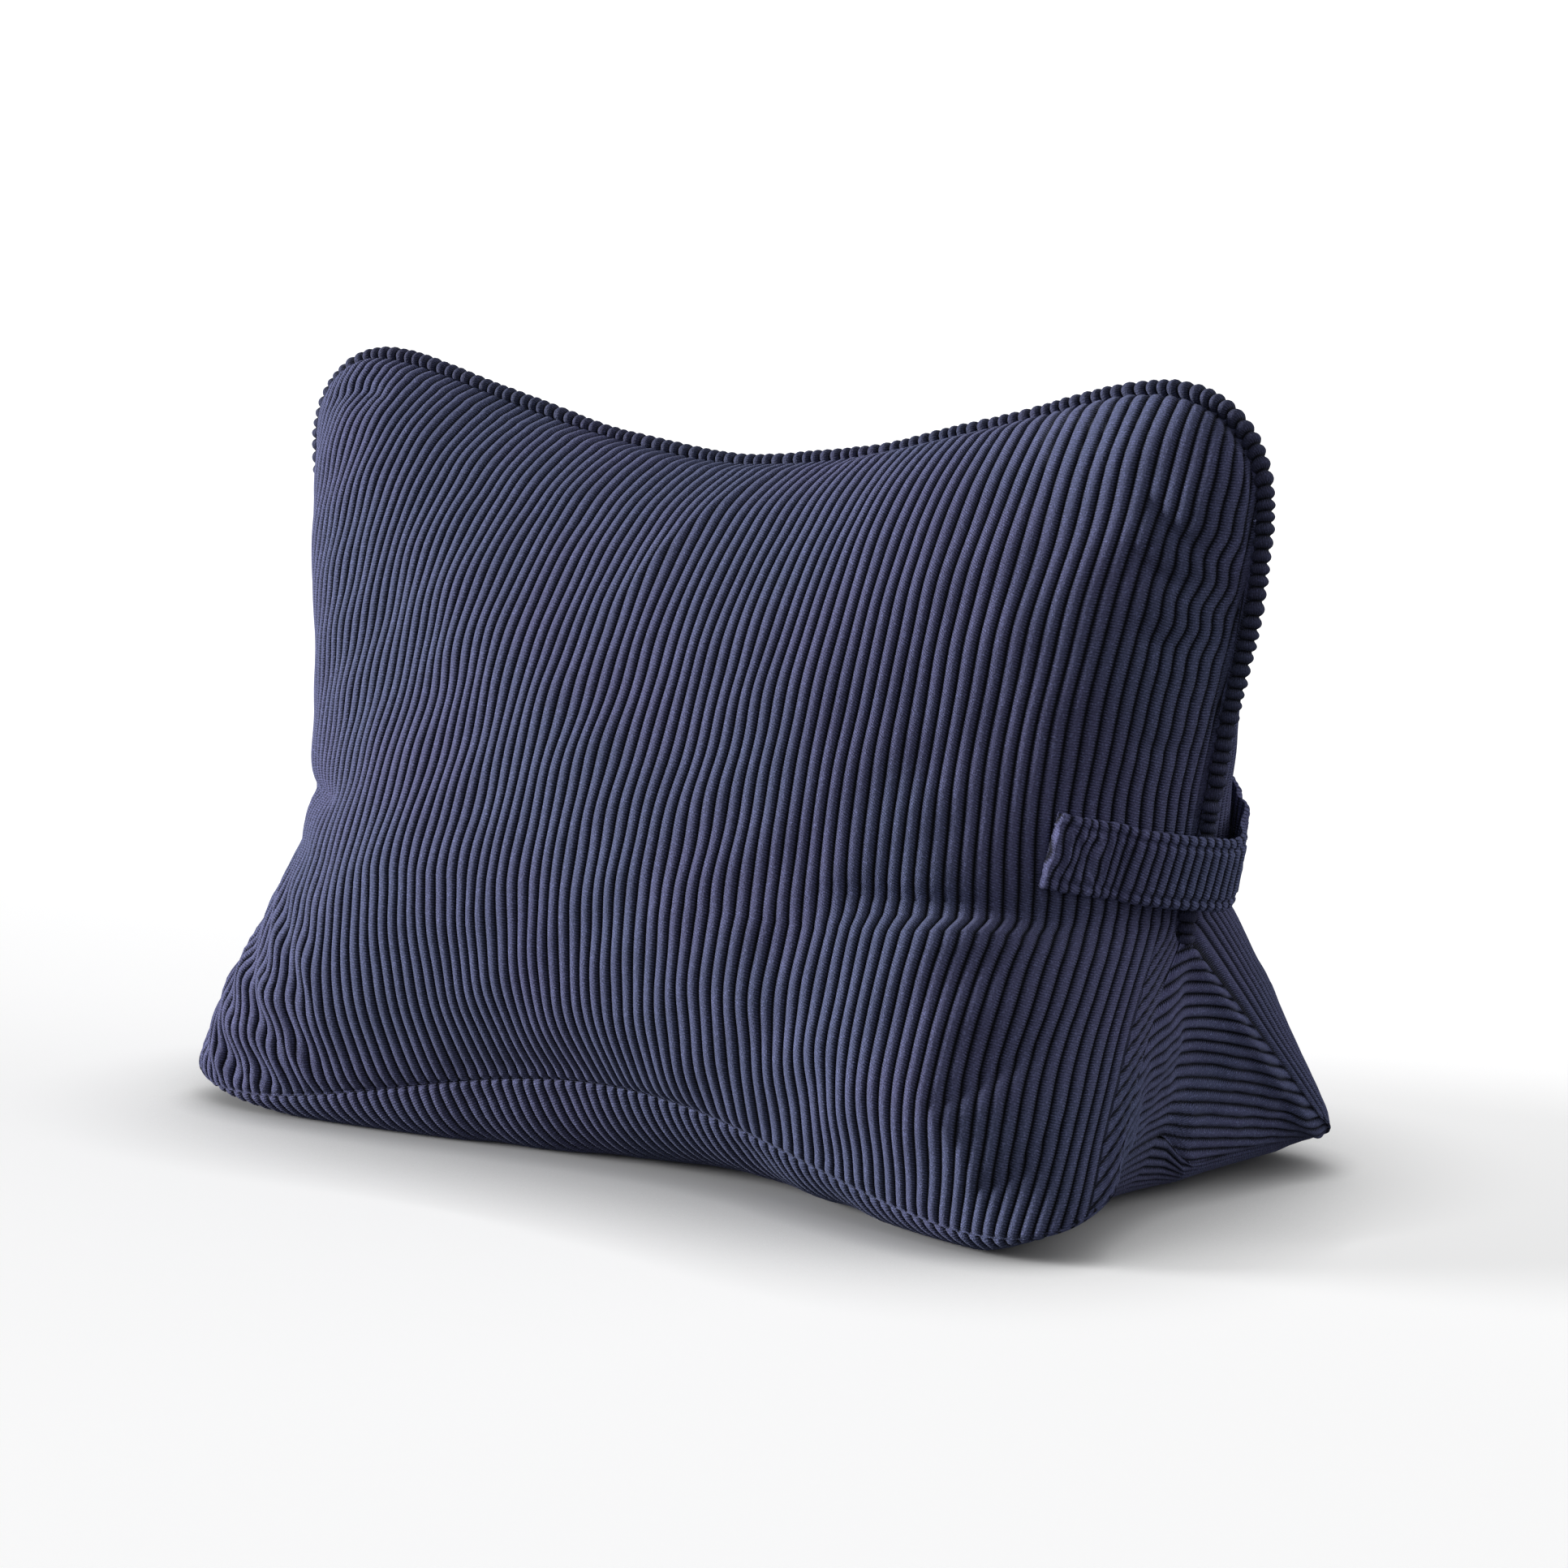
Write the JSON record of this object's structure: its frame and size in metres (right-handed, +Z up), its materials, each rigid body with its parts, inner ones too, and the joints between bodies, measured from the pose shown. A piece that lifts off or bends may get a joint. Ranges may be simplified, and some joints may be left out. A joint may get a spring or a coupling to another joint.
{
  "type": "triangle backrest pillow",
  "caption": "Wedge-shaped filled back rest in wide-rib corduroy, with side gussets, a corded ridge seam, a flat base and a loop handle over one edge.",
  "frame": {"origin": "on the floor, under the middle of the ridge seam", "axes": "+Z up, +X to the right as seen from the front, front panel towards -Y, ridge seam in the XZ plane"},
  "size_m": [0.703, 0.3236, 0.4573],
  "materials": {
    "corduroy": "dusty blue-navy wide-rib corduroy, matt with a soft sheen",
    "corduroy_gusset": "the same corduroy, ribs running across",
    "corduroy_base": "the same corduroy, ribs running front to back",
    "corduroy_piping": "the same corduroy wrapped round a cord, a bead at each rib",
    "corduroy_handle": "the same corduroy, ribs across the strap, edges topstitched"
  },
  "bodies": {
    "root": {"cushion_body": "corduroy", "base_panel": "corduroy_base", "gusset_left": "corduroy_gusset", "gusset_right": "corduroy_gusset", "piping": "corduroy_piping", "handle": "corduroy_handle"}
  },
  "joints": []
}
